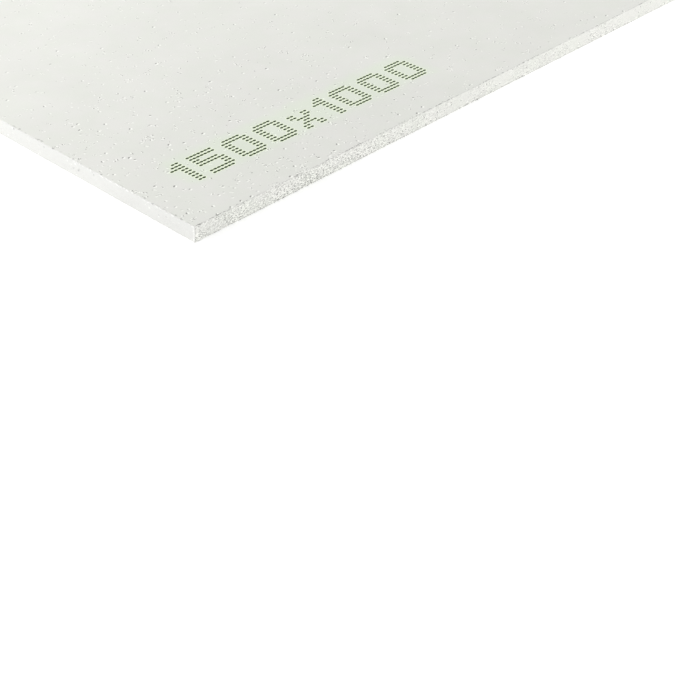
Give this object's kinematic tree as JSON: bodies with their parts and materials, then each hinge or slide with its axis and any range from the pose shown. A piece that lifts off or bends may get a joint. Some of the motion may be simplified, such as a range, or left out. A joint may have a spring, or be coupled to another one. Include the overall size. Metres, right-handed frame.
{
  "type": "gypsum fibreboard drywall sheet",
  "caption": "Flat rectangular dry-lining board of gypsum and paper fibre, paperless and homogeneous, with square sawn edges, for lining walls and ceilings.",
  "frame": {"origin": "under the middle of the sheet, on its back face, which is the face it lies on", "axes": "+X along the sheet's length, +Y across its width, +Z through its thickness, out of the face side"},
  "size_m": [1.5, 1, 0.0125],
  "materials": {
    "gypsum_fibreboard": "dry and matt, pale warm grey, lightly flecked with paper fibre"
  },
  "bodies": {
    "root": {"fibreboard_sheet": "gypsum_fibreboard"}
  },
  "joints": []
}
